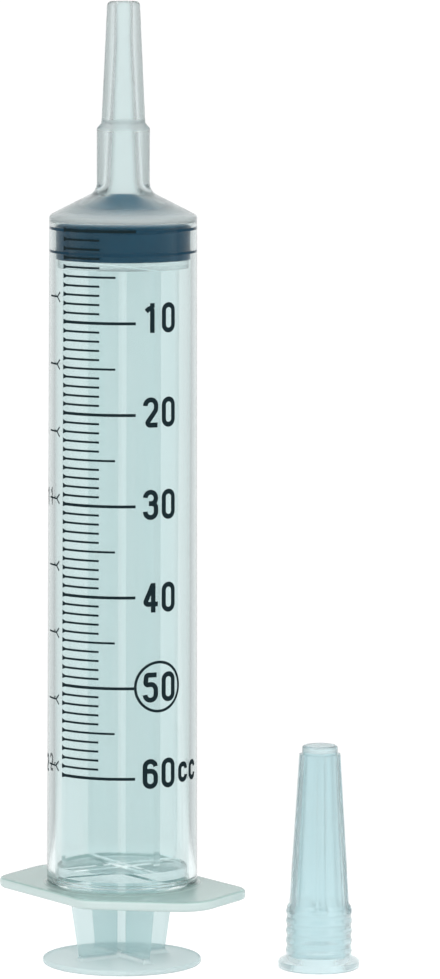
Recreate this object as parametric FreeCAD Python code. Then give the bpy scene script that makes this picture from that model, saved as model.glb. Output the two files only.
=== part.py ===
import FreeCAD, Part
import os
from math import cos, radians, sin, tan

# A 60 ml catheter tip syringe that stands on its thumb disc with the plunger pushed home, and its tip cap,
# taken off and standing beside it. Lengths are in millimetres and angles in degrees. The origin is on the
# syringe's axis at the underside of the thumb disc, +Z runs up to the tip, and -Y is the front.

# Barrel: one clear moulding of tube, finger flange, shoulder, collar and nozzle
BORE_DIAMETER = 26.7
WALL_AT_FLANGE = 1.55
WALL_AT_SHOULDER = 1.15
BARREL_LENGTH = 134.4  # from the flange's underside to the shoulder's outer edge
BARREL_FOOT_FILLET = 0.9  # where the tube stands on the flange
SHOULDER_SLOPE = 27.0  # from level
SHOULDER_WALL = 1.4
SHOULDER_EDGE_RADIUS = 0.8
NECK_FILLET = 2.5  # outside, between shoulder and collar
THROAT_FILLET = 4.0  # inside, between shoulder and lumen
COLLAR_DIAMETER = 10.4
COLLAR_LENGTH = 12.3  # from where its side would meet the shoulder
COLLAR_STEP = 1.0  # height of the slope from collar to nozzle
NOZZLE_ROOT_DIAMETER = 8.6
NOZZLE_TIP_DIAMETER = 6.4
NOZZLE_LENGTH = 23.8
NOZZLE_TIP_RADIUS = 0.9
LUMEN_DIAMETER = 5.3  # at the shoulder
OUTLET_DIAMETER = 2.8  # at the tip
OUTLET_LENGTH = 8.0
MOUTH_CHAMFER = 0.4  # round the barrel's open end
BEAD_DEPTH = 0.25  # how far the bead that keeps the stopper in stands into the bore
BEAD_WIDTH = 0.8
BEAD_HEIGHT = 3.2  # middle of the bead above the flange's underside

# Finger flange
FLANGE_WING = 12.9  # how far its two points, before they are rounded, stand out from the barrel's foot
FLANGE_SIDE = 2.5  # how far its long sides stand out
FLANGE_LONG_CORNER = 19.6  # from the middle to the further corner of each long side
FLANGE_SHORT_CORNER = 12.2  # and to the nearer one
FLANGE_POINT_RADIUS = 7.5
FLANGE_CORNER_RADIUS = 5.3
FLANGE_THICKNESS = 1.9
FLANGE_EDGE_RADIUS = 0.6
FLANGE_TURN = -55.7  # of its long axis from +X

# Plunger rod: one clear moulding of thumb disc, crossed ribs, guide disc, front disc and head
ROD_CLEARANCE = 0.25  # from the rod's discs and ribs to the bead that they pass
THUMB_GAP = 12.9  # from the thumb disc's top to the flange's underside, with the plunger home
THUMB_DISC_DIAMETER = 31.4
THUMB_DISC_THICKNESS = 1.1
THUMB_DISC_EDGE_RADIUS = 0.45
RIB_THICKNESS = 1.4
RIB_FOOT_WIDTH = 18.8  # from edge to edge, on the thumb disc
RIB_TAPER_OVER = 3.9  # from the guide disc's underside up to where the ribs reach their full width
RIB_FOOT_FILLET = 0.9
RIB_TURN = 31.6  # of one rib from +X, the other stands square to it
GUIDE_DISC_RISE = 2.2  # from the flange's top to the guide disc's underside
GUIDE_DISC_THICKNESS = 1.8
FRONT_DISC_THICKNESS = 1.6
NECK_DIAMETER = 10.0
HEAD_DIAMETER = 15.0
HEAD_TOP_DIAMETER = 7.0

# Stopper: black rubber with two narrow seal ribs, snapped over the rod's head
STOPPER_SKIRT = 6.3  # from its underside to the cone's foot
STOPPER_LEDGE = 2.2  # thickness of the lip behind the rod's head
STOPPER_ROOF = 2.6  # thickness of the cone over the rod's head
STOPPER_NOSE = 0.1  # height of the nose above where its cone and its side would meet
STOPPER_NOSE_RADIUS = 0.5
GROOVE_DEPTH = 0.15
SEAL_RIB_WIDTH = 0.45
SEAL_RIB_FLANK = 0.2
SEAL_RIB_INSET = 1.25  # from the underside to the lower seal rib
SEAL_CLEARANCE = 0.05  # from the seal ribs to the bore
SWIVEL_CLEARANCE = 0.06  # round the rod's neck and head
SEAT_CLEARANCE = 0.1  # between level faces of rod and stopper
HEAD_CLEARANCE = 0.3  # between the head's cone and the stopper's roof
CONE_CLEARANCE = 1.0  # left between the stopper's cone and the shoulder

# Tip cap: one clear moulding that fits over the collar and nozzle
CAP_GAP = 3.2  # from the circle that the flange can sweep to the cap's rim
CAP_Y = -5.0
CAP_CLEARANCE = 0.1  # from the cap's mouth to the collar
CAP_NOZZLE_CLEARANCE = 0.5  # from the inside to the nozzle's root
CAP_AIR = 7.5  # from the nozzle's tip to the inside of the cap's end, with the cap on
CAP_END_WALL = 1.3
CAP_END_HEIGHT = 1.7  # of the small round end above the taper
CAP_END_STEP = 0.55  # from the taper in to the small round end
CAP_END_RADIUS = 0.5
CAP_RIM_WIDTH = 1.45  # from the grip out to the rim
CAP_RIM_HEIGHT = 1.5
CAP_RIM_FLARE = 1.0  # height of the slope above the rim
CAP_RIM_RADIUS = 0.35
CAP_GRIP_WALL = 1.25
CAP_GRIP_OVER = 1.55  # how far the grip runs past the end of the collar
CAP_GRIP_STEP = 0.6  # height of the slope from the grip to the taper
CAP_RING_COUNT = 5
CAP_RING_DEPTH = 0.25
CAP_WALL = 1.1  # at the foot of the taper, outside the flutes
CAP_WALL_AT_TOP = 0.85
CAP_FLUTE_COUNT = 6
CAP_FLUTE_DEPTH = 0.45
CAP_FLUTE_WIDTH = 2.6  # at the foot of the taper
CAP_FLUTE_TURN = 4.0  # of one flute from the front, towards +X

# Sizes that the pieces share
TOLERANCE = 0.001
bore_r = BORE_DIAMETER / 2
bead_r = bore_r - BEAD_DEPTH
rod_r = bead_r - ROD_CLEARANCE
seal_r = bore_r - SEAL_CLEARANCE
lumen_r = LUMEN_DIAMETER / 2
collar_r = COLLAR_DIAMETER / 2
tube_foot_r = bore_r + WALL_AT_FLANGE
shoulder_r = bore_r + WALL_AT_SHOULDER
sweep_r = tube_foot_r + FLANGE_WING
flange_z = THUMB_DISC_THICKNESS + THUMB_GAP
flange_top_z = flange_z + FLANGE_THICKNESS
shoulder_edge_z = flange_z + BARREL_LENGTH
slope = radians(SHOULDER_SLOPE)


def shoulder_z(radius, depth):
    """Height at a radius on the cone that lies a depth below the shoulder's outer cone, square to it."""
    return shoulder_edge_z + (shoulder_r - radius) * tan(slope) - depth / cos(slope)


plug_depth = SHOULDER_WALL + CONE_CLEARANCE
roof_depth = plug_depth + STOPPER_ROOF
stopper_z = shoulder_z(seal_r, plug_depth) - STOPPER_SKIRT
rod_z = stopper_z - SEAT_CLEARANCE
front_disc_z = rod_z - FRONT_DISC_THICKNESS
guide_disc_z = flange_top_z + GUIDE_DISC_RISE
collar_z = shoulder_z(collar_r, 0)
collar_foot_z = collar_z + NECK_FILLET * tan(radians(90 - SHOULDER_SLOPE) / 2)
collar_top_z = collar_z + COLLAR_LENGTH
nozzle_z = collar_top_z + COLLAR_STEP
tip_z = nozzle_z + NOZZLE_LENGTH


def turned(corners):
    """Solid turned about Z from a closed outline of (radius, height, corner radius) in the XZ plane."""
    edges = []
    starts = []
    ends = []
    count = len(corners)
    for i, (radius, height, rounding) in enumerate(corners):
        here = FreeCAD.Vector(radius, 0, height)
        before = FreeCAD.Vector(corners[i - 1][0], 0, corners[i - 1][1])
        after = FreeCAD.Vector(corners[(i + 1) % count][0], 0, corners[(i + 1) % count][1])
        back = (before - here).normalize()
        ahead = (after - here).normalize()
        if rounding == 0:
            starts.append(here)
            ends.append(here)
            continue
        half = back.getAngle(ahead) / 2
        reach = rounding / tan(half)
        centre = here + (back + ahead).normalize() * (rounding / sin(half))
        middle = centre + (here - centre).normalize() * rounding
        starts.append(here + back * reach)
        ends.append(here + ahead * reach)
        edges.append(Part.Arc(starts[-1], middle, ends[-1]).toShape())
    for i in range(count):
        if ends[i - 1].distanceToPoint(starts[i]) > TOLERANCE:
            edges.append(Part.LineSegment(ends[i - 1], starts[i]).toShape())
    outline = Part.Wire(Part.__sortEdges__(edges))
    return Part.Face(outline).revolve(FreeCAD.Vector(0, 0, 0), FreeCAD.Vector(0, 0, 1), 360)


def cylinder(radius, bottom, top):
    """Upright cylinder on the syringe's axis."""
    return Part.makeCylinder(radius, top - bottom, FreeCAD.Vector(0, 0, bottom))


def flange():
    """Finger flange: a six-sided plate that comes to a blunt point at each end, with every corner rounded."""
    side = tube_foot_r + FLANGE_SIDE
    half = [(sweep_r, 0), (FLANGE_LONG_CORNER, side), (-FLANGE_SHORT_CORNER, side)]
    outline = half + [(-x, -y) for x, y in half]
    corners = [FreeCAD.Vector(x, y, flange_z) for x, y in outline]
    face = Part.Face(Part.makePolygon(corners + corners[:1]))
    plate = face.extrude(FreeCAD.Vector(0, 0, FLANGE_THICKNESS))
    side_corners = [
        edge
        for edge in plate.Edges
        if edge.BoundBox.ZLength > FLANGE_THICKNESS / 2 and abs(edge.BoundBox.YMin) > TOLERANCE
    ]
    plate = plate.makeFillet(FLANGE_CORNER_RADIUS, side_corners)
    points = [edge for edge in plate.Edges if min(abs(end.X) for end in edge.Vertexes) > sweep_r - TOLERANCE]
    plate = plate.makeFillet(FLANGE_POINT_RADIUS, points)
    rims = [edge for edge in plate.Edges if edge.BoundBox.ZLength < FLANGE_EDGE_RADIUS]
    plate = plate.makeFillet(FLANGE_EDGE_RADIUS, rims)
    plate.rotate(FreeCAD.Vector(0, 0, 0), FreeCAD.Vector(0, 0, 1), FLANGE_TURN)
    return plate.cut(cylinder(tube_foot_r, 0, tip_z))


def barrel():
    """Tube with a tapered wall on its flange, closed by a conical shoulder that carries collar and nozzle."""
    bead_z = flange_z + BEAD_HEIGHT
    core_r = tube_foot_r + FLANGE_SIDE - FLANGE_EDGE_RADIUS
    tube = turned([
        (bore_r + MOUTH_CHAMFER, flange_z, 0),
        (core_r, flange_z, 0),
        (core_r, flange_top_z, 0),
        (tube_foot_r, flange_top_z, min(BARREL_FOOT_FILLET, core_r - tube_foot_r)),
        (shoulder_r, shoulder_edge_z, SHOULDER_EDGE_RADIUS),
        (collar_r, collar_z, NECK_FILLET),
        (collar_r, collar_top_z, 0),
        (NOZZLE_ROOT_DIAMETER / 2, nozzle_z, 0),
        (NOZZLE_TIP_DIAMETER / 2, tip_z, NOZZLE_TIP_RADIUS),
        (OUTLET_DIAMETER / 2, tip_z, 0),
        (OUTLET_DIAMETER / 2, tip_z - OUTLET_LENGTH, 0),
        (lumen_r, shoulder_z(lumen_r, SHOULDER_WALL), THROAT_FILLET),
        (bore_r, shoulder_z(bore_r, SHOULDER_WALL), 0),
        (bore_r, bead_z + BEAD_WIDTH / 2, 0),
        (bead_r, bead_z + BEAD_WIDTH / 4, 0),
        (bead_r, bead_z - BEAD_WIDTH / 4, 0),
        (bore_r, bead_z - BEAD_WIDTH / 2, 0),
        (bore_r, flange_z + MOUTH_CHAMFER, 0),
    ])
    return tube.fuse(flange()).removeSplitter()


def crossed_ribs():
    """Two plates that cross on the axis and widen from the thumb disc up past the guide disc."""
    foot = RIB_FOOT_WIDTH / 2
    outline = [
        (-foot, THUMB_DISC_THICKNESS),
        (foot, THUMB_DISC_THICKNESS),
        (rod_r, guide_disc_z + RIB_TAPER_OVER),
        (rod_r, front_disc_z),
        (-rod_r, front_disc_z),
        (-rod_r, guide_disc_z + RIB_TAPER_OVER),
    ]
    corners = [FreeCAD.Vector(x, -RIB_THICKNESS / 2, z) for x, z in outline]
    rib = Part.Face(Part.makePolygon(corners + corners[:1])).extrude(FreeCAD.Vector(0, RIB_THICKNESS, 0))
    other = rib.copy()
    other.rotate(FreeCAD.Vector(0, 0, 0), FreeCAD.Vector(0, 0, 1), 90)
    ribs = rib.fuse(other)
    ribs.rotate(FreeCAD.Vector(0, 0, 0), FreeCAD.Vector(0, 0, 1), RIB_TURN)
    return ribs.common(cylinder(rod_r, 0, tip_z))


def neck_and_head():
    """Neck that carries a thick button, whose cone follows the inside of the stopper's roof."""
    neck_r = NECK_DIAMETER / 2
    head_r = HEAD_DIAMETER / 2
    top_r = HEAD_TOP_DIAMETER / 2
    under_z = stopper_z + STOPPER_LEDGE + SEAT_CLEARANCE
    depth = roof_depth + HEAD_CLEARANCE
    return turned([
        (0, front_disc_z, 0),
        (neck_r, front_disc_z, 0),
        (neck_r, under_z, 0),
        (head_r, under_z, 0),
        (head_r, shoulder_z(head_r, depth), 0),
        (top_r, shoulder_z(top_r, depth), 0),
        (0, shoulder_z(top_r, depth), 0),
    ])


def plunger_rod():
    """Thumb disc, crossed ribs with a guide disc inside the barrel's mouth, front disc, neck and head."""
    thumb_r = THUMB_DISC_DIAMETER / 2
    thumb_disc = turned([
        (0, 0, 0),
        (thumb_r, 0, THUMB_DISC_EDGE_RADIUS),
        (thumb_r, THUMB_DISC_THICKNESS, THUMB_DISC_EDGE_RADIUS),
        (0, THUMB_DISC_THICKNESS, 0),
    ])
    rod = thumb_disc.fuse(crossed_ribs()).removeSplitter()
    foot_edges = [
        edge
        for edge in rod.Edges
        if edge.BoundBox.ZLength < TOLERANCE
        and abs(edge.BoundBox.ZMin - THUMB_DISC_THICKNESS) < TOLERANCE
        and edge.BoundBox.DiagonalLength < RIB_FOOT_WIDTH
    ]
    rod = rod.makeFillet(RIB_FOOT_FILLET, foot_edges)
    rod = rod.fuse(cylinder(rod_r, guide_disc_z, guide_disc_z + GUIDE_DISC_THICKNESS))
    rod = rod.fuse(cylinder(rod_r, front_disc_z, rod_z))
    return rod.fuse(neck_and_head()).removeSplitter()


def stopper():
    """Rubber plug with a seal rib at its cone's foot and one near its underside, a blunt nose, and a lip."""
    neck_r = NECK_DIAMETER / 2 + SWIVEL_CLEARANCE
    head_r = HEAD_DIAMETER / 2 + SWIVEL_CLEARANCE
    top_r = HEAD_TOP_DIAMETER / 2
    side_r = seal_r - GROOVE_DEPTH
    nose_r = lumen_r - CONE_CLEARANCE
    nose_fillet = THROAT_FILLET + CONE_CLEARANCE
    nose_foot_z = shoulder_z(nose_r, plug_depth)
    nose_z = nose_foot_z + STOPPER_NOSE
    lower_rib_z = stopper_z + SEAL_RIB_INSET
    cone_foot_z = stopper_z + STOPPER_SKIRT
    upper_rib_z = cone_foot_z - SEAL_RIB_WIDTH
    body = turned([
        (neck_r, stopper_z, 0),
        (side_r, stopper_z, 0),
        (side_r, lower_rib_z - SEAL_RIB_FLANK, 0),
        (seal_r, lower_rib_z, 0),
        (seal_r, lower_rib_z + SEAL_RIB_WIDTH, 0),
        (side_r, lower_rib_z + SEAL_RIB_WIDTH + SEAL_RIB_FLANK, 0),
        (side_r, upper_rib_z - SEAL_RIB_FLANK, 0),
        (seal_r, upper_rib_z, 0),
        (seal_r, cone_foot_z, 0),
        (nose_r, nose_foot_z, nose_fillet),
        (nose_r, nose_foot_z + nose_fillet, 0),
        (0, nose_foot_z + nose_fillet, 0),
        (0, shoulder_z(top_r, roof_depth), 0),
        (top_r, shoulder_z(top_r, roof_depth), 0),
        (head_r, shoulder_z(head_r, roof_depth), 0),
        (head_r, stopper_z + STOPPER_LEDGE, 0),
        (neck_r, stopper_z + STOPPER_LEDGE, 0),
    ])
    body = body.common(cylinder(bore_r, 0, nose_z))
    rim = [edge for edge in body.Edges if abs(edge.BoundBox.ZMin - nose_z) < TOLERANCE]
    return body.makeFillet(STOPPER_NOSE_RADIUS, rim)


def cap_flute(taper_r, taper_z, top_r, top_z):
    """Cutter for the front flute: a cone that lies along the cap's taper and bites a hollow into it."""
    half = CAP_FLUTE_WIDTH / 2
    low_r = (half**2 + CAP_FLUTE_DEPTH**2) / (2 * CAP_FLUTE_DEPTH)
    high_r = low_r * top_r / taper_r
    low = FreeCAD.Vector(0, CAP_FLUTE_DEPTH - taper_r - low_r, taper_z)
    high = FreeCAD.Vector(0, CAP_FLUTE_DEPTH - top_r - high_r, top_z)
    along = high - low
    cone = Part.makeCone(low_r, high_r, along.Length, low, along)
    run_out = Part.makeCylinder(high_r, CAP_END_HEIGHT, high, along)
    rounded_foot = Part.makeSphere(low_r, low)
    return cone.fuse([run_out, rounded_foot])


def tip_cap():
    """Cap that stands on its open end: a rim, a ringed grip, a fluted taper and a small round end."""
    mouth_r = collar_r + CAP_CLEARANCE
    grip_r = mouth_r + CAP_GRIP_WALL
    rim_r = grip_r + CAP_RIM_WIDTH
    grip_z = collar_top_z - collar_foot_z + CAP_GRIP_OVER
    inner_foot_r = NOZZLE_ROOT_DIAMETER / 2 + CAP_NOZZLE_CLEARANCE
    inner_top_r = NOZZLE_TIP_DIAMETER / 2
    inner_top_z = tip_z - collar_foot_z + CAP_AIR
    taper_r = inner_foot_r + CAP_WALL
    taper_z = grip_z + CAP_GRIP_STEP
    top_r = inner_top_r + CAP_WALL_AT_TOP
    end_r = top_r - CAP_END_STEP
    end_z = inner_top_z + CAP_END_WALL
    top_z = end_z - CAP_END_HEIGHT
    ring_z = CAP_RIM_HEIGHT + CAP_RIM_FLARE
    pitch = (grip_z - ring_z) / CAP_RING_COUNT
    rings = []
    for i in range(CAP_RING_COUNT):
        rings.append((grip_r - CAP_RING_DEPTH, ring_z + i * pitch, CAP_RING_DEPTH))
        rings.append((grip_r, ring_z + (i + 1 / 2) * pitch, pitch / 4))
    cap = turned([
        (0, 0, 0),
        (rim_r, 0, CAP_RIM_RADIUS),
        (rim_r, CAP_RIM_HEIGHT, CAP_RIM_RADIUS),
        *rings,
        (grip_r - CAP_RING_DEPTH, grip_z, 0),
        (taper_r, taper_z, 0),
        (top_r, top_z, 0),
        (end_r, top_z, 0),
        (end_r, end_z, CAP_END_RADIUS),
        (0, end_z, 0),
    ])
    inside = turned([
        (0, 0, 0),
        (mouth_r, 0, 0),
        (mouth_r, grip_z - CAP_GRIP_STEP, 0),
        (inner_foot_r, taper_z, 0),
        (inner_top_r, inner_top_z, 0),
        (0, inner_top_z, 0),
    ])
    flute = cap_flute(taper_r, taper_z, top_r, top_z).cut(cylinder(end_r, top_z, end_z))
    for i in range(CAP_FLUTE_COUNT):
        cutter = flute.copy()
        turn = CAP_FLUTE_TURN + 360 * i / CAP_FLUTE_COUNT
        cutter.rotate(FreeCAD.Vector(0, 0, 0), FreeCAD.Vector(0, 0, 1), turn)
        cap = cap.cut(cutter)
    cap = cap.cut(inside)
    cap.translate(FreeCAD.Vector(sweep_r + CAP_GAP + rim_r, CAP_Y, 0))
    return cap


os.makedirs("parts", exist_ok=True)
pieces = {
    "barrel": barrel(),
    "stopper": stopper(),
    "plunger_rod": plunger_rod(),
    "tip_cap": tip_cap(),
}
for name, shape in pieces.items():
    solid = shape.Solids[0]
    print(name, "solids", len(shape.Solids), "valid", solid.isValid(), "volume", round(solid.Volume, 1))
    solid.exportStep(f"parts/{name}.step")
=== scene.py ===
import bmesh
import bpy
import numpy as np
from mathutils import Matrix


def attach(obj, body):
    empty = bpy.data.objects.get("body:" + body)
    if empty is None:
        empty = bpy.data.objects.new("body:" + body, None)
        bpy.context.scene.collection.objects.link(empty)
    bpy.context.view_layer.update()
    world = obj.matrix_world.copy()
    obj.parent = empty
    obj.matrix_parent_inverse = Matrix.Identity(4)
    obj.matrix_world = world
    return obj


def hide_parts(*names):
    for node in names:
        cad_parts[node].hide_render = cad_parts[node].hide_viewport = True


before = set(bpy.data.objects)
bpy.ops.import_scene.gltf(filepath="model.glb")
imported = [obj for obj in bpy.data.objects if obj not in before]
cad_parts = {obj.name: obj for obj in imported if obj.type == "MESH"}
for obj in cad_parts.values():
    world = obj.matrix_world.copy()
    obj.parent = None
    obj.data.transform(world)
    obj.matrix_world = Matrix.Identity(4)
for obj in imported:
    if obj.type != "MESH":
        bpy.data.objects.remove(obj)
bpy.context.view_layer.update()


# Plunger rod: thumb disc, crossed ribs, guide disc, front disc and head in one moulding of natural
# polypropylene, clear but slightly milky. It carries the stopper on its head.
MM = 0.001
STREAKS_PER_METRE = (700, 700, 40)
GRAINS_PER_METRE = 2600
GRAIN_DEPTH = 0.02 * MM


def streaked(name, tint, shade, roughness, haze, depth, relief):
    """Moulded plastic. A noise drawn out along the height mixes the tint with the shade and moves the
    roughness by the haze to both sides, and a fine noise dents the surface by the relief. Light that crosses
    the plastic fades with the depth's density."""
    material = bpy.data.materials.new(name)
    material.use_nodes = True
    nodes, links = material.node_tree.nodes, material.node_tree.links
    shader = nodes["Principled BSDF"]
    place = nodes.new("ShaderNodeTexCoord")
    stretch = nodes.new("ShaderNodeMapping")
    stretch.inputs["Scale"].default_value = STREAKS_PER_METRE
    flow = nodes.new("ShaderNodeTexNoise")
    flow.inputs["Scale"].default_value = 1.0
    flow.inputs["Detail"].default_value = 4
    colour = nodes.new("ShaderNodeMix")
    colour.data_type = "RGBA"
    colour.inputs["A"].default_value = (*tint, 1)
    colour.inputs["B"].default_value = (*shade, 1)
    polish = nodes.new("ShaderNodeMapRange")
    polish.inputs["To Min"].default_value = roughness - haze
    polish.inputs["To Max"].default_value = roughness + haze
    grain = nodes.new("ShaderNodeTexNoise")
    grain.inputs["Scale"].default_value = GRAINS_PER_METRE
    grain.inputs["Detail"].default_value = 2
    dents = nodes.new("ShaderNodeBump")
    dents.inputs["Strength"].default_value = relief
    dents.inputs["Distance"].default_value = GRAIN_DEPTH
    links.new(place.outputs["Object"], stretch.inputs["Vector"])
    links.new(stretch.outputs["Vector"], flow.inputs["Vector"])
    links.new(flow.outputs["Fac"], colour.inputs["Factor"])
    links.new(flow.outputs["Fac"], polish.inputs["Value"])
    links.new(colour.outputs["Result"], shader.inputs["Base Color"])
    links.new(polish.outputs["Result"], shader.inputs["Roughness"])
    links.new(place.outputs["Object"], grain.inputs["Vector"])
    links.new(grain.outputs["Fac"], dents.inputs["Height"])
    links.new(dents.outputs["Normal"], shader.inputs["Normal"])
    shader.inputs["IOR"].default_value = 1.49
    body = nodes.new("ShaderNodeVolumeAbsorption")
    body.inputs["Color"].default_value = (0.42, 0.60, 0.61, 1)
    body.inputs["Density"].default_value = depth
    links.new(body.outputs["Volume"], nodes["Material Output"].inputs["Volume"])
    return material, shader


def graded(tree, number, stops):
    """A number that goes straight from each stop's value to the next one's as the given one goes from stop to
    stop, and keeps the first and last values beyond them."""
    low, high = stops[0][0], stops[-1][0]
    span = tree.nodes.new("ShaderNodeMapRange")
    span.inputs["From Min"].default_value = low
    span.inputs["From Max"].default_value = high
    ramp = tree.nodes.new("ShaderNodeValToRGB")
    marks = ramp.color_ramp.elements
    while len(marks) < len(stops):
        marks.new(0.5)
    for mark, (at, value) in zip(marks, stops):
        mark.position = (at - low) / (high - low)
        mark.color = (value, value, value, 1)
    tree.links.new(number, span.inputs["Value"])
    tree.links.new(span.outputs["Result"], ramp.inputs["Fac"])
    return ramp.outputs["Color"]


def by_height(material, stops):
    """A number graded by the height above the ground, from stops as (millimetres, value)."""
    tree = material.node_tree
    place = tree.nodes.new("ShaderNodeTexCoord")
    parts = tree.nodes.new("ShaderNodeSeparateXYZ")
    tree.links.new(place.outputs["Object"], parts.inputs["Vector"])
    return graded(tree, parts.outputs["Z"], [(height * MM, value) for height, value in stops])


def clouded(material, shader, streaks, clearness, cloud):
    """Sets the transmission by height, and adds a share of the shade by height to that of the streaks."""
    nodes, links = material.node_tree.nodes, material.node_tree.links
    links.new(by_height(material, clearness), shader.inputs["Transmission Weight"])
    share = nodes.new("ShaderNodeMath")
    share.operation = "MULTIPLY_ADD"
    share.inputs[1].default_value = streaks
    tints = shader.inputs["Base Color"].links[0].from_node
    links.new(tints.inputs["Factor"].links[0].from_socket, share.inputs[0])
    links.new(by_height(material, cloud), share.inputs[2])
    links.new(share.outputs[0], tints.inputs["Factor"])


ROD_CLEARNESS = [  # height and transmission
    (1.2, 0.45), (2.2, 0.75), (16.0, 0.75), (17.4, 1.0), (21.0, 1.0), (24.0, 0.94),
]
ROD_CLOUD = [(1.2, 0.9), (2.2, 0.55), (16.0, 0.5), (17.5, 0.0)]  # height and share of the shade
rod_plastic, rod_shader = streaked(
    "rod_plastic", tint=(0.945, 0.975, 0.975), shade=(0.74, 0.895, 0.905),
    roughness=0.18, haze=0.02, depth=4, relief=0.05,
)
clouded(rod_plastic, rod_shader, streaks=0.4, clearness=ROD_CLEARNESS, cloud=ROD_CLOUD)
rod_shader.inputs["IOR"].default_value = 1.08
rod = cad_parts["plunger_rod"]
rod.data.materials.clear()
rod.data.materials.append(rod_plastic)


# Stopper: dark blue-grey rubber moulded with two narrow seal ribs that squeeze against the bore, snapped
# over the rod's head. Its nose reaches up towards the root of the barrel's lumen.
STOPPER_SLICES = 160
STOPPER_FOOT = 140.018
STOPPER_SIDE = 13.17
SEAL_SIDE = 13.37  # squeezed into the bore's skin, so that the ring shows dark through the wall
STOPPER_HOLLOW = 5.1
SOCKET_SIDE = 7.6  # of the room for the rod's head
SOCKET_FOOT = 142.25
RUBBER_PIT_DEPTH = 0.04 * MM
CONE_PAINTED_LIGHT = [(146.4, 0.0), (147.2, 1.0)]  # height and share of the paler blue on the cone, painted light that stands in for light falling from above
STOPPER_OUTLINE = np.array([  # radius, height, rounding
    (0.0, 152.354, 0.0),
    (2.62, 152.354, 0.4),
    (3.33, 151.4, 3.9),
    (SEAL_SIDE, 146.28, 0.1),
    (SEAL_SIDE, 145.75, 0.1),
    (STOPPER_SIDE, 145.5, 0.1),
    (STOPPER_SIDE, 141.92, 0.1),
    (SEAL_SIDE, 141.72, 0.1),
    (SEAL_SIDE, 141.27, 0.1),
    (STOPPER_SIDE, 141.07, 0.1),
    (STOPPER_SIDE, STOPPER_FOOT, 0.15),
    (STOPPER_HOLLOW, STOPPER_FOOT, 0.05),
    (STOPPER_HOLLOW, SOCKET_FOOT, 0.05),
    (SOCKET_SIDE, SOCKET_FOOT, 0.05),
    (SOCKET_SIDE, 146.3, 0.05),
    (3.5, 148.38, 0.05),
    (0.0, 148.38, 0.0),
])


TINY = 1e-9  # keeps a side with no length, and a corner folded flat, from dividing by nought
MERGED = 0.001 * MM


def rounded(corners, steps, skirt):
    """Outline with rounded corners, from corners as (corner, angle, radius-height-rounding). Each corner
    turns into the arc that touches both its sides, as a rational quadratic curve: its middle point is the
    corner, and its middle weight is the sine of half the corner's angle. One more point a skirt's width
    before and after the arc keeps the straight sides flat. A corner with no rounding stays in its place."""
    point, rounding = corners[..., :2], corners[..., 2:]
    back, ahead = np.roll(point, 1, 0) - point, np.roll(point, -1, 0) - point
    back /= np.maximum(np.linalg.norm(back, axis=-1, keepdims=True), TINY)
    ahead /= np.maximum(np.linalg.norm(ahead, axis=-1, keepdims=True), TINY)
    half = np.arccos(np.clip((back * ahead).sum(-1, keepdims=True), -1, 1 - TINY)) / 2
    reach = rounding / np.tan(half)
    edge = skirt * (rounding > 0)
    start, end = point + back * reach, point + ahead * reach
    t = np.linspace(0, 1, steps).reshape(1, -1, 1, 1)
    weight = np.sin(half)[:, None]
    low, middle, high = (1 - t) ** 2, 2 * t * (1 - t) * weight, t**2
    arc = (low * start[:, None] + middle * point[:, None] + high * end[:, None]) / (low + middle + high)
    rows = np.concatenate([(start + back * edge)[:, None], arc, (end + ahead * edge)[:, None]], 1)
    return rows.reshape(-1, *rows.shape[2:])


def turned(name, outline, ring, steps=5, skirt=0.03):
    """Surface turned about the upright axis: a point at (radius, height) of the outline goes to
    (radius times cosine, radius times sine, height) at each angle. The grid closes on itself round the
    axis, and for a ring along the outline too. Points of an outline that ends on the axis merge there."""
    count = outline.shape[1]
    angle = np.linspace(0, 2 * np.pi, count, endpoint=False)
    rows = rounded(outline, steps, skirt)
    points = np.stack([rows[..., 0] * np.cos(angle), rows[..., 0] * np.sin(angle), rows[..., 1]], -1) * MM
    index = np.arange(rows.shape[0] * count).reshape(-1, count)
    if ring:
        index = np.vstack([index, index[:1]])
    index = np.hstack([index, index[:, :1]])
    faces = np.stack([index[:-1, :-1], index[1:, :-1], index[1:, 1:], index[:-1, 1:]], -1).reshape(-1, 4)
    mesh = bpy.data.meshes.new(name)
    mesh.from_pydata(points.reshape(-1, 3), [], faces)
    piece = bpy.data.objects.new(name, mesh)
    bpy.context.scene.collection.objects.link(piece)
    shell = bmesh.new()
    shell.from_mesh(mesh)
    bmesh.ops.remove_doubles(shell, verts=shell.verts, dist=MERGED)
    bmesh.ops.recalc_face_normals(shell, faces=shell.faces)
    shell.to_mesh(mesh)
    shell.free()
    mesh.shade_smooth()
    return piece


def around(outline, count):
    """The same outline at each of count angles."""
    return np.repeat(outline[:, None], count, 1)


stopper = turned("rubber_stopper", around(STOPPER_OUTLINE, STOPPER_SLICES), ring=False)
rubber = bpy.data.materials.new("stopper_rubber")
rubber.use_nodes = True
nodes, links = rubber.node_tree.nodes, rubber.node_tree.links
shader = nodes["Principled BSDF"]
place = nodes.new("ShaderNodeTexCoord")
bloom = nodes.new("ShaderNodeTexNoise")
bloom.inputs["Scale"].default_value = 420
bloom.inputs["Detail"].default_value = 5
colour = nodes.new("ShaderNodeMix")
colour.data_type = "RGBA"
colour.inputs["A"].default_value = (0.005, 0.056, 0.112, 1)
colour.inputs["B"].default_value = (0.011, 0.086, 0.160, 1)
polish = nodes.new("ShaderNodeMapRange")
polish.inputs["To Min"].default_value = 0.42
polish.inputs["To Max"].default_value = 0.58
pits = nodes.new("ShaderNodeBump")
pits.inputs["Strength"].default_value = 0.3
pits.inputs["Distance"].default_value = RUBBER_PIT_DEPTH
shader.inputs["Specular IOR Level"].default_value = 0.15
links.new(place.outputs["Object"], bloom.inputs["Vector"])
links.new(bloom.outputs["Fac"], colour.inputs["Factor"])
links.new(bloom.outputs["Fac"], polish.inputs["Value"])
links.new(bloom.outputs["Fac"], pits.inputs["Height"])
# painted light: above these heights the cone's colour goes to a paler blue that stands in for light from
# above
cone_painted_light = nodes.new("ShaderNodeMix")
cone_painted_light.data_type = "RGBA"
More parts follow.
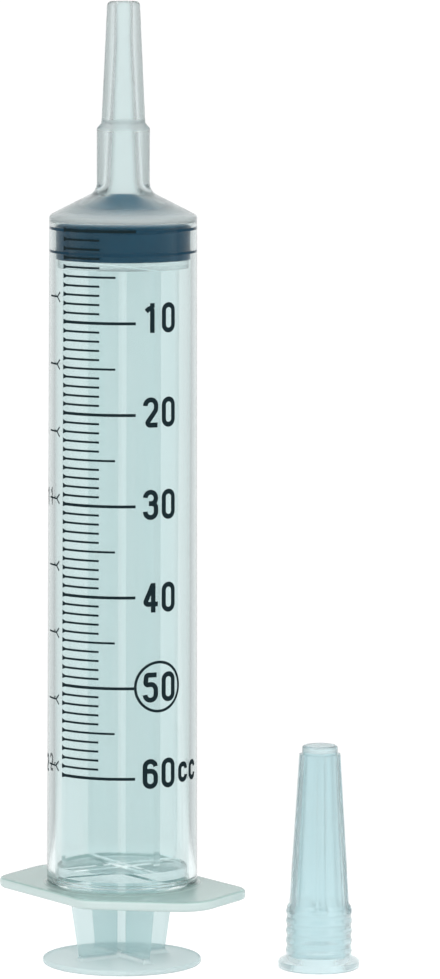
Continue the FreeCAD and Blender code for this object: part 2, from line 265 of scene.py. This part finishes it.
cone_painted_light.inputs["B"].default_value = (0.035, 0.23, 0.38, 1)
links.new(by_height(rubber, CONE_PAINTED_LIGHT), cone_painted_light.inputs["Factor"])
links.new(colour.outputs["Result"], cone_painted_light.inputs["A"])
links.new(cone_painted_light.outputs["Result"], shader.inputs["Base Color"])
links.new(polish.outputs["Result"], shader.inputs["Roughness"])
links.new(pits.outputs["Normal"], shader.inputs["Normal"])
stopper.data.materials.append(rubber)
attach(stopper, "stopper")
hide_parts("stopper")


# Barrel: tube, finger flange, shoulder, collar and nozzle in one clear moulding of polypropylene. The
# tube's wall is polished, and the rest came out of the mould matt, most so the flange and the step above
# the collar. The flange is six-sided and comes to a blunt point at each end.
BARREL_SLICES = 320
BARREL_FOOT = 14.0
FLANGE_TOP = 15.9
SHOULDER_FOOT = 148.4
NOZZLE_TOP = 190.237
TUBE_RADIUS_LOW = 14.9
TUBE_RADIUS_HIGH = 14.5
BORE_RADIUS = 13.35
BEAD_RADIUS = 13.1  # of the bead that keeps the stopper in
OUTLET_RADIUS = 1.4
FLANGE_TURN = np.radians(-55.7)
FLANGE_REACH = 27.8
FLANGE_SIDE = 17.4
FLANGE_LONG_CORNER = 19.6
FLANGE_SHORT_CORNER = 12.2
FLANGE_POINT_ROUND = 7.5
FLANGE_CORNER_ROUND = 5.3
FLANGE_ARC_STEPS = 9
FLANGE_POINTS = 4000
FLANGE_ROWS = [1, 2]  # of the barrel's outline, whose radius follows the flange's edge
FLANGE_OUTLINE = np.array([  # along and across its long axis, rounding
    (FLANGE_REACH, 0.0, FLANGE_POINT_ROUND),
    (FLANGE_LONG_CORNER, FLANGE_SIDE, FLANGE_CORNER_ROUND),
    (-FLANGE_SHORT_CORNER, FLANGE_SIDE, FLANGE_CORNER_ROUND),
    (-FLANGE_REACH, 0.0, FLANGE_POINT_ROUND),
    (-FLANGE_LONG_CORNER, -FLANGE_SIDE, FLANGE_CORNER_ROUND),
    (FLANGE_SHORT_CORNER, -FLANGE_SIDE, FLANGE_CORNER_ROUND),
])
BARREL_OUTLINE = np.array([  # radius, height, rounding
    (13.75, BARREL_FOOT, 0.12),
    (0.0, BARREL_FOOT, 0.6),
    (0.0, FLANGE_TOP, 0.6),
    (TUBE_RADIUS_LOW, FLANGE_TOP, 0.9),
    (TUBE_RADIUS_HIGH, SHOULDER_FOOT, 0.8),
    (5.2, 153.139, 2.5),
    (5.2, 165.439, 0.5),
    (4.3, 166.439, 0.6),
    (3.2, NOZZLE_TOP, 0.9),
    (OUTLET_RADIUS, NOZZLE_TOP, 0.2),
    (OUTLET_RADIUS, 182.239, 0.3),
    (2.65, 152.866, 4.0),
    (BORE_RADIUS, 147.414, 0.4),
    (BORE_RADIUS, 17.6, 0.15),
    (BEAD_RADIUS, 17.4, 0.1),
    (BEAD_RADIUS, 17.0, 0.1),
    (BORE_RADIUS, 16.8, 0.15),
    (BORE_RADIUS, 14.4, 0.12),
])
CLEARNESS = [  # height and transmission
    (15.6, 0.15), (15.8, 0.5), (16.6, 1.0), (147.0, 1.0), (148.0, 0.6), (149.0, 0.6), (149.7, 0.88),
    (150.5, 0.96),
]
CLOUD = [(15.6, 0.35), (15.8, 0.9), (16.6, 0.0)]  # height and share of the shade
MATTNESS = [  # height and added roughness
    (15.5, 0.12), (16.8, 0.0), (147.0, 0.0), (148.0, 0.18), (151.6, 0.14), (154.0, 0.12), (164.9, 0.12),
    (165.4, 0.34), (166.9, 0.34), (167.5, 0.12),
]


def flange_edge(angle):
    """Distance from the axis to the flange's edge: the rounded outline is cut into short steps, and the
    distance of its points is read off at each angle."""
    edge = rounded(FLANGE_OUTLINE[:, None], FLANGE_ARC_STEPS, 0)[:, 0]
    edge = np.vstack([edge, edge[:1]])
    step = np.linspace(0, len(edge) - 1, FLANGE_POINTS)
    x, y = (np.interp(step, np.arange(len(edge)), edge[:, i]) for i in range(2))
    return np.interp(angle, np.arctan2(y, x) + FLANGE_TURN, np.hypot(x, y), period=2 * np.pi)


outline = around(BARREL_OUTLINE, BARREL_SLICES)
outline[FLANGE_ROWS, :, 0] = flange_edge(np.linspace(0, 2 * np.pi, BARREL_SLICES, endpoint=False))
barrel = turned("clear_barrel", outline, ring=True)
barrel_plastic, barrel_shader = streaked(
    "barrel_plastic", tint=(0.912, 0.957, 0.963), shade=(0.61, 0.86, 0.81),
    roughness=0.06, haze=0.015, depth=35, relief=0.01,
)
clouded(barrel_plastic, barrel_shader, streaks=0.2, clearness=CLEARNESS, cloud=CLOUD)
links = barrel_plastic.node_tree.links
rough = barrel_plastic.node_tree.nodes.new("ShaderNodeMath")
links.new(barrel_shader.inputs["Roughness"].links[0].from_socket, rough.inputs[0])
links.new(by_height(barrel_plastic, MATTNESS), rough.inputs[1])
links.new(rough.outputs[0], barrel_shader.inputs["Roughness"])
barrel_shader.inputs["Specular Tint"].default_value = (0.25, 0.36, 0.39, 1)
barrel.data.materials.append(barrel_plastic)
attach(barrel, "barrel")
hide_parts("barrel")


# Scale: dark ink printed on the front of the tube, a line with a wedge end for each cubic centimetre,
# longer at each fifth and tenth, and numbers at the tenths. A second scale in ounces runs on its left.
ZERO_HEIGHT = 146.15
CC_HEIGHT = 1.786
LAST_CC = 60
OUNCE_CC = 29.57
INK_LIFT = 0.02
INK_RADIUS = 14.7  # that angles are turned into arcs with
LINE_LEFT = -52.0
LINE_RIGHT = {1: -17.5, 5: -4.9, 10: 10.7}
LINE_WEIGHT = {1: 0.42, 5: 0.42, 10: 0.58}
WEDGE_LENGTH = 0.95
WEDGE_WEIGHT = 1.04
STROKE = 0.98  # width of a digit's stroke
STROKE_PITCH = 0.15  # between the points along a stroke
STROKE_ARC_STEPS = 9
LINE_POINTS = 24
WIDE, TALL = 1.12, 2.47  # from a digit's middle to the middle of its side and top strokes
BEND = 1.1  # rounding of a digit's corners
SMALL_WIDE, SMALL_TALL, SMALL_BEND = 0.98, 1.55, 0.95  # the same for the small letter
GLYPHS = {  # strokes of (right, up, rounding) in millimetres from the middle
    "0": [[
        (-WIDE, 0, 0), (-WIDE, TALL, BEND), (WIDE, TALL, BEND), (WIDE, -TALL, BEND), (-WIDE, -TALL, BEND),
        (-WIDE, 0, 0),
    ]],
    "1": [[(-1.0, 1.3, 0), (0.3, 2.4, 0.45), (0.3, -2.9, 0)], [(0.3, 2.0, 0), (0.3, 2.9, 0)]],
    "2": [[
        (-WIDE, 1.3, 0), (-WIDE, TALL, BEND), (WIDE, TALL, BEND), (WIDE, 0.5, 1.3), (-1.1, -TALL, 0.45),
        (1.45, -TALL, 0),
    ]],
    "3": [
        [
            (-WIDE, 1.4, 0), (-WIDE, TALL, BEND), (1.08, TALL, BEND), (1.08, 0.75, 0.8), (0.45, 0.25, 0),
            (-0.4, 0.25, 0),
        ],
        [(0.3, 0.25, 0), (WIDE, 0.1, 0.9), (WIDE, -TALL, BEND), (-WIDE, -TALL, BEND), (-WIDE, -1.3, 0)],
    ],
    "4": [[(0.55, -2.9, 0), (0.55, 2.9, 0)], [(0.45, 2.6, 0), (-1.25, -1.25, 0.45), (1.55, -1.25, 0)]],
    "5": [[
        (1.3, TALL, 0), (-0.85, TALL, 0.44), (-1.05, 0.5, 0.44), (WIDE, 0.75, BEND), (WIDE, -TALL, BEND),
        (-WIDE, -TALL, BEND), (-WIDE, -1.4, 0),
    ]],
    "6": [[
        (1.08, 1.45, 0), (1.08, TALL, 1.08), (-WIDE, TALL, BEND), (-WIDE, -TALL, BEND), (WIDE, -TALL, BEND),
        (WIDE, 0.55, BEND), (-0.75, 0.55, 0),
    ]],
    "c": [[
        (SMALL_WIDE, 0.6, 0), (SMALL_WIDE, SMALL_TALL, SMALL_BEND), (-SMALL_WIDE, SMALL_TALL, SMALL_BEND),
        (-SMALL_WIDE, -SMALL_TALL, SMALL_BEND), (SMALL_WIDE, -SMALL_TALL, SMALL_BEND), (SMALL_WIDE, -0.6, 0),
    ]],
}


def tube_radius(height):
    """Radius of the tube's outside at a height, in millimetres."""
    share = (height - FLANGE_TOP) / (SHOULDER_FOOT - FLANGE_TOP)
    return TUBE_RADIUS_LOW + share * (TUBE_RADIUS_HIGH - TUBE_RADIUS_LOW)


def wrapped(arc, height, lift):
    """Points on the tube's outside: arc is the way round from the front in millimetres, towards +X."""
    radius = tube_radius(height)
    turn = arc / INK_RADIUS
    return np.stack([(radius + lift) * np.sin(turn), -(radius + lift) * np.cos(turn), height], -1) * MM


def stepped(path, pitch):
    """Points about a pitch apart along a path: its lengths are summed up, and each coordinate is read off
    at even steps of that sum."""
    run = np.concatenate([[0], np.cumsum(np.linalg.norm(np.diff(path, axis=0), axis=1))])
    at = np.linspace(0, run[-1], int(run[-1] / pitch) + 2)
    return np.stack([np.interp(at, run, path[:, i]) for i in range(2)], 1)


def glyph(letter, arc, height, size):
    """Strokes of a letter as (path, half width), with its middle at an arc and a height."""
    strokes = []
    for corners in GLYPHS[letter]:
        path = rounded(np.array(corners, float)[:, None], STROKE_ARC_STEPS, 0)[:, 0]
        strokes.append((stepped(path, STROKE_PITCH) * size + (arc, height), STROKE * size / 2))
    return strokes


def line(left, right, height, weight, wedge):
    """A printed line as (path, half width), whose half width grows to the wedge's at its left end."""
    shaft = np.linspace(left + WEDGE_LENGTH, right, LINE_POINTS)
    arc = np.concatenate([[left, left + WEDGE_LENGTH / 2], shaft])
    share = np.clip(1 - (arc - left) / WEDGE_LENGTH, 0, 1)
    return np.stack([arc, np.full_like(arc, height)], 1), (weight + (wedge - weight) * share) / 2


def printed(name, strokes):
    """Ink on the tube: each stroke is a strip along its path, half its width out to each side, square to the
    path, and wrapped round the tube."""
    points, faces, total = [], [], 0
    for path, half in strokes:
        ahead = np.gradient(path, axis=0)
        ahead /= np.linalg.norm(ahead, axis=1, keepdims=True)
        side = np.stack([-ahead[:, 1], ahead[:, 0]], 1) * np.reshape(half, (-1, 1))
        strip = np.concatenate([path - side, path + side])
        points.append(wrapped(strip[:, 0], strip[:, 1], INK_LIFT))
        count = len(path)
        run = np.arange(count - 1) + total
        faces.append(np.stack([run, run + 1, run + 1 + count, run + count], -1))
        total += 2 * count
    mesh = bpy.data.meshes.new(name)
    mesh.from_pydata(np.concatenate(points), [], np.concatenate(faces))
    piece = bpy.data.objects.new(name, mesh)
    bpy.context.scene.collection.objects.link(piece)
    piece.data.materials.append(ink)
    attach(piece, "barrel")


ink = bpy.data.materials.new("scale_ink")
ink.use_nodes = True
nodes, links = ink.node_tree.nodes, ink.node_tree.links
shader = nodes["Principled BSDF"]
place = nodes.new("ShaderNodeTexCoord")
cover = nodes.new("ShaderNodeTexNoise")
cover.inputs["Scale"].default_value = 1500
colour = nodes.new("ShaderNodeMix")
colour.data_type = "RGBA"
colour.inputs["A"].default_value = (0.004, 0.014, 0.018, 1)
colour.inputs["B"].default_value = (0.010, 0.026, 0.032, 1)
links.new(place.outputs["Object"], cover.inputs["Vector"])
links.new(cover.outputs["Fac"], colour.inputs["Factor"])
links.new(colour.outputs["Result"], shader.inputs["Base Color"])
shader.inputs["Roughness"].default_value = 0.7
shader.inputs["Specular IOR Level"].default_value = 0.1

strokes = []
for cc in range(LAST_CC + 1):
    kind = 10 if cc % 10 == 0 else 5 if cc % 5 == 0 else 1
    left, right = np.radians([LINE_LEFT, LINE_RIGHT[kind]]) * INK_RADIUS
    strokes.append(line(left, right, ZERO_HEIGHT - CC_HEIGHT * cc, LINE_WEIGHT[kind], WEDGE_WEIGHT))
printed("scale_lines", strokes)

NUMBER_TURN = 30.5
NUMBER_SPREAD = 4.0  # from the middle of one digit to the next
NUMBER_RISE = {10: 1.05, 20: 0.5, 30: 0.3, 40: -0.1, 50: 0.1, 60: 0.9}  # above its line
RING_RADIUS = 4.83
RING_WEIGHT = 0.55
RING_POINTS = 97
RING_SHIFT = (-0.25, 0.2)  # of the ring's middle from the middle of its line's number
UNIT_TURNS = (54.2, 68.0)
UNIT_DROP = 0.3
strokes = []
middle = np.radians(NUMBER_TURN) * INK_RADIUS
for number, rise in NUMBER_RISE.items():
    height = ZERO_HEIGHT - CC_HEIGHT * number + rise
    strokes += glyph(str(number)[0], middle - NUMBER_SPREAD / 2, height, 1)
    strokes += glyph(str(number)[1], middle + NUMBER_SPREAD / 2, height, 1)
for turn in UNIT_TURNS:
    strokes += glyph("c", np.radians(turn) * INK_RADIUS, height - UNIT_DROP, 1)
turn = np.linspace(0, 2 * np.pi, RING_POINTS)
ring_middle = np.array([middle, ZERO_HEIGHT - CC_HEIGHT * 50]) + RING_SHIFT
ring = ring_middle + RING_RADIUS * np.stack([np.cos(turn), np.sin(turn)], 1)
strokes.append((ring, RING_WEIGHT / 2))
printed("scale_numbers", strokes)

OUNCE_WEIGHT = 0.34
OUNCE_PITCH = 0.2  # between the points along a mark
OUNCE_DIGIT_SIZE = 0.6
OUNCE_DIGIT_ARC = np.radians(-80.0) * INK_RADIUS
OUNCE_LEFT, OUNCE_FORK, OUNCE_RIGHT = np.radians([-74.0, -60.5, -56.5]) * INK_RADIUS
FORK_RISE = 0.95
strokes = []
for quarter in range(1, 9):
    height = ZERO_HEIGHT - CC_HEIGHT * OUNCE_CC / 4 * quarter
    fork = np.array([
        (OUNCE_RIGHT, height + FORK_RISE), (OUNCE_FORK, height), (OUNCE_RIGHT, height - FORK_RISE),
    ])
    stem = np.array([(OUNCE_LEFT, height), (OUNCE_FORK, height)])
    strokes += [(stepped(path, OUNCE_PITCH), OUNCE_WEIGHT / 2) for path in (stem, fork)]
    if quarter % 4 == 0:
        strokes += glyph(str(quarter // 4), OUNCE_DIGIT_ARC, height, OUNCE_DIGIT_SIZE)
printed("ounce_scale", strokes)


# Tip cap: clear moulding with a rim, a ringed grip, a fluted taper and a small round end. It is
# taken off and stands on its open end beside the syringe.
cap_plastic, cap_shader = streaked(
    "cap_plastic", tint=(0.86, 0.985, 1.0), shade=(0.77, 0.95, 0.985),
    roughness=0.2, haze=0.03, depth=15, relief=0.05,
)
cap_shader.inputs["Transmission Weight"].default_value = 0.82
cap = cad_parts["tip_cap"]
cap.data.materials.clear()
cap.data.materials.append(cap_plastic)


# Studio: a pale floor, and a world that is white where it is seen. Behind clear plastic the white fades
# to the sides, and what is mirrored is a room, dim in front and bright behind and overhead. Two tall soft
# boxes stand in front, one at each side.


def by_ray(tree, kinds):
    """One where the ray is of one of these kinds, and nought for the others."""
    path = tree.nodes.new("ShaderNodeLightPath")
    total = path.outputs[kinds[0]]
    for kind in kinds[1:]:
        either = tree.nodes.new("ShaderNodeMath")
        either.operation = "MAXIMUM"
        tree.links.new(total, either.inputs[0])
        tree.links.new(path.outputs[kind], either.inputs[1])
        total = either.outputs[0]
    return total


WHITE = 1.03  # just over white, so that the backdrop has no grain
ROOM_RADIANCE = 0.7  # that lights the pieces evenly from all sides
THROUGH_LIGHT = [(0.75, 0.64), (0.96, 1.0)]  # way to the back, and what shows through the plastic there
BACK_LIGHT = [(-0.8, 0.12), (0.6, 0.3), (0.78, 0.4), (0.94, 0.95)]  # way to the back, and what is mirrored
TOP_LIGHT = [(0.35, 0.0), (1.0, 0.5)]  # way up, and what is mirrored besides
world = bpy.data.worlds.new("studio")
bpy.context.scene.world = world
world.use_nodes = True
tree = world.node_tree
tree.nodes.clear()
way = tree.nodes.new("ShaderNodeTexCoord")
parts = tree.nodes.new("ShaderNodeSeparateXYZ")
tree.links.new(way.outputs["Generated"], parts.inputs["Vector"])
behind = tree.nodes.new("ShaderNodeMix")
behind.inputs["B"].default_value = WHITE
tree.links.new(by_ray(tree, ["Is Camera Ray"]), behind.inputs["Factor"])
tree.links.new(graded(tree, parts.outputs["Y"], THROUGH_LIGHT), behind.inputs["A"])
seen = tree.nodes.new("ShaderNodeBackground")
seen.inputs["Strength"].default_value = 1.0
tree.links.new(behind.outputs["Result"], seen.inputs["Color"])
mirrored = tree.nodes.new("ShaderNodeMath")
tree.links.new(graded(tree, parts.outputs["Y"], BACK_LIGHT), mirrored.inputs[0])
tree.links.new(graded(tree, parts.outputs["Z"], TOP_LIGHT), mirrored.inputs[1])
shown = tree.nodes.new("ShaderNodeMix")
shown.inputs["A"].default_value = ROOM_RADIANCE
tree.links.new(by_ray(tree, ["Is Glossy Ray"]), shown.inputs["Factor"])
tree.links.new(mirrored.outputs[0], shown.inputs["B"])
room = tree.nodes.new("ShaderNodeBackground")
tree.links.new(shown.outputs["Result"], room.inputs["Color"])
mix = tree.nodes.new("ShaderNodeMixShader")
out = tree.nodes.new("ShaderNodeOutputWorld")
tree.links.new(by_ray(tree, ["Is Camera Ray", "Is Transmission Ray"]), mix.inputs["Fac"])
tree.links.new(room.outputs[0], mix.inputs[1])
tree.links.new(seen.outputs[0], mix.inputs[2])
tree.links.new(mix.outputs[0], out.inputs["Surface"])

FLOOR_SIDE = 4
FLOOR_FRONT = -3
FLOOR_BACK = 0.1  # the white world goes on from here
mesh = bpy.data.meshes.new("floor")
corners = [(-FLOOR_SIDE, FLOOR_FRONT, 0), (FLOOR_SIDE, FLOOR_FRONT, 0), (FLOOR_SIDE, FLOOR_BACK, 0)]
mesh.from_pydata([*corners, (-FLOOR_SIDE, FLOOR_BACK, 0)], [], [(0, 1, 2, 3)])
floor = bpy.data.objects.new("floor", mesh)
bpy.context.scene.collection.objects.link(floor)
pale = bpy.data.materials.new("floor_pale")
pale.use_nodes = True
tree = pale.node_tree
tree.nodes.clear()
matt = tree.nodes.new("ShaderNodeBsdfDiffuse")
matt.inputs["Color"].default_value = (0.85, 0.85, 0.85, 1)
faint = tree.nodes.new("ShaderNodeBsdfDiffuse")
faint.inputs["Color"].default_value = (0.3, 0.3, 0.3, 1)
glow = tree.nodes.new("ShaderNodeEmission")
glow.inputs["Strength"].default_value = 0.88
both = tree.nodes.new("ShaderNodeAddShader")
mix = tree.nodes.new("ShaderNodeMixShader")
out = tree.nodes.new("ShaderNodeOutputMaterial")
tree.links.new(faint.outputs[0], both.inputs[0])
tree.links.new(glow.outputs[0], both.inputs[1])
tree.links.new(by_ray(tree, ["Is Camera Ray", "Is Glossy Ray", "Is Transmission Ray"]), mix.inputs["Fac"])
tree.links.new(matt.outputs[0], mix.inputs[1])
tree.links.new(both.outputs[0], mix.inputs[2])
tree.links.new(mix.outputs[0], out.inputs["Surface"])
floor.data.materials.append(pale)

SOFT_BOX_HEIGHT = 1.1
SOFT_BOX_DISTANCE = 1.0
SOFT_BOX_RISE = 0.62  # of its middle
SOFT_BOX_TILT = 25
SOFT_BOXES = {  # angle from the front towards +X, width and radiance
    "soft_box_left": (-50, 0.73, 1.3),
    "soft_box_right": (48, 0.5, 2.2),
}
for name, (turn, width, radiance) in SOFT_BOXES.items():
    light = bpy.data.lights.new(name, "AREA")
    light.shape = "RECTANGLE"
    light.size = width
    light.size_y = SOFT_BOX_HEIGHT
    light.energy = radiance * np.pi * width * SOFT_BOX_HEIGHT
    box = bpy.data.objects.new(name, light)
    bpy.context.scene.collection.objects.link(box)
    turn = np.radians(turn)
    box.location = (SOFT_BOX_DISTANCE * np.sin(turn), -SOFT_BOX_DISTANCE * np.cos(turn), SOFT_BOX_RISE)
    box.rotation_euler = (np.radians(90 - SOFT_BOX_TILT), 0, turn)


# Camera: a long lens in front, a little above the tip, that looks slightly down.
CAMERA_PLACE = (0.01867, -1.2, 0.22985)
CAMERA_DOWN = 6.44
CAMERA_ROLL = -0.2
LENS_LENGTH = 225.6  # in millimetres, on film 36 mm wide
lens = bpy.data.cameras.new("camera")
lens.sensor_width = 36
lens.lens = LENS_LENGTH
lens.clip_end = 50
camera = bpy.data.objects.new("camera", lens)
bpy.context.scene.collection.objects.link(camera)
camera.location = CAMERA_PLACE
camera.rotation_euler = (np.radians(90 - CAMERA_DOWN), np.radians(CAMERA_ROLL), 0)
bpy.context.scene.camera = camera
bpy.context.scene.view_settings.view_transform = "Standard"
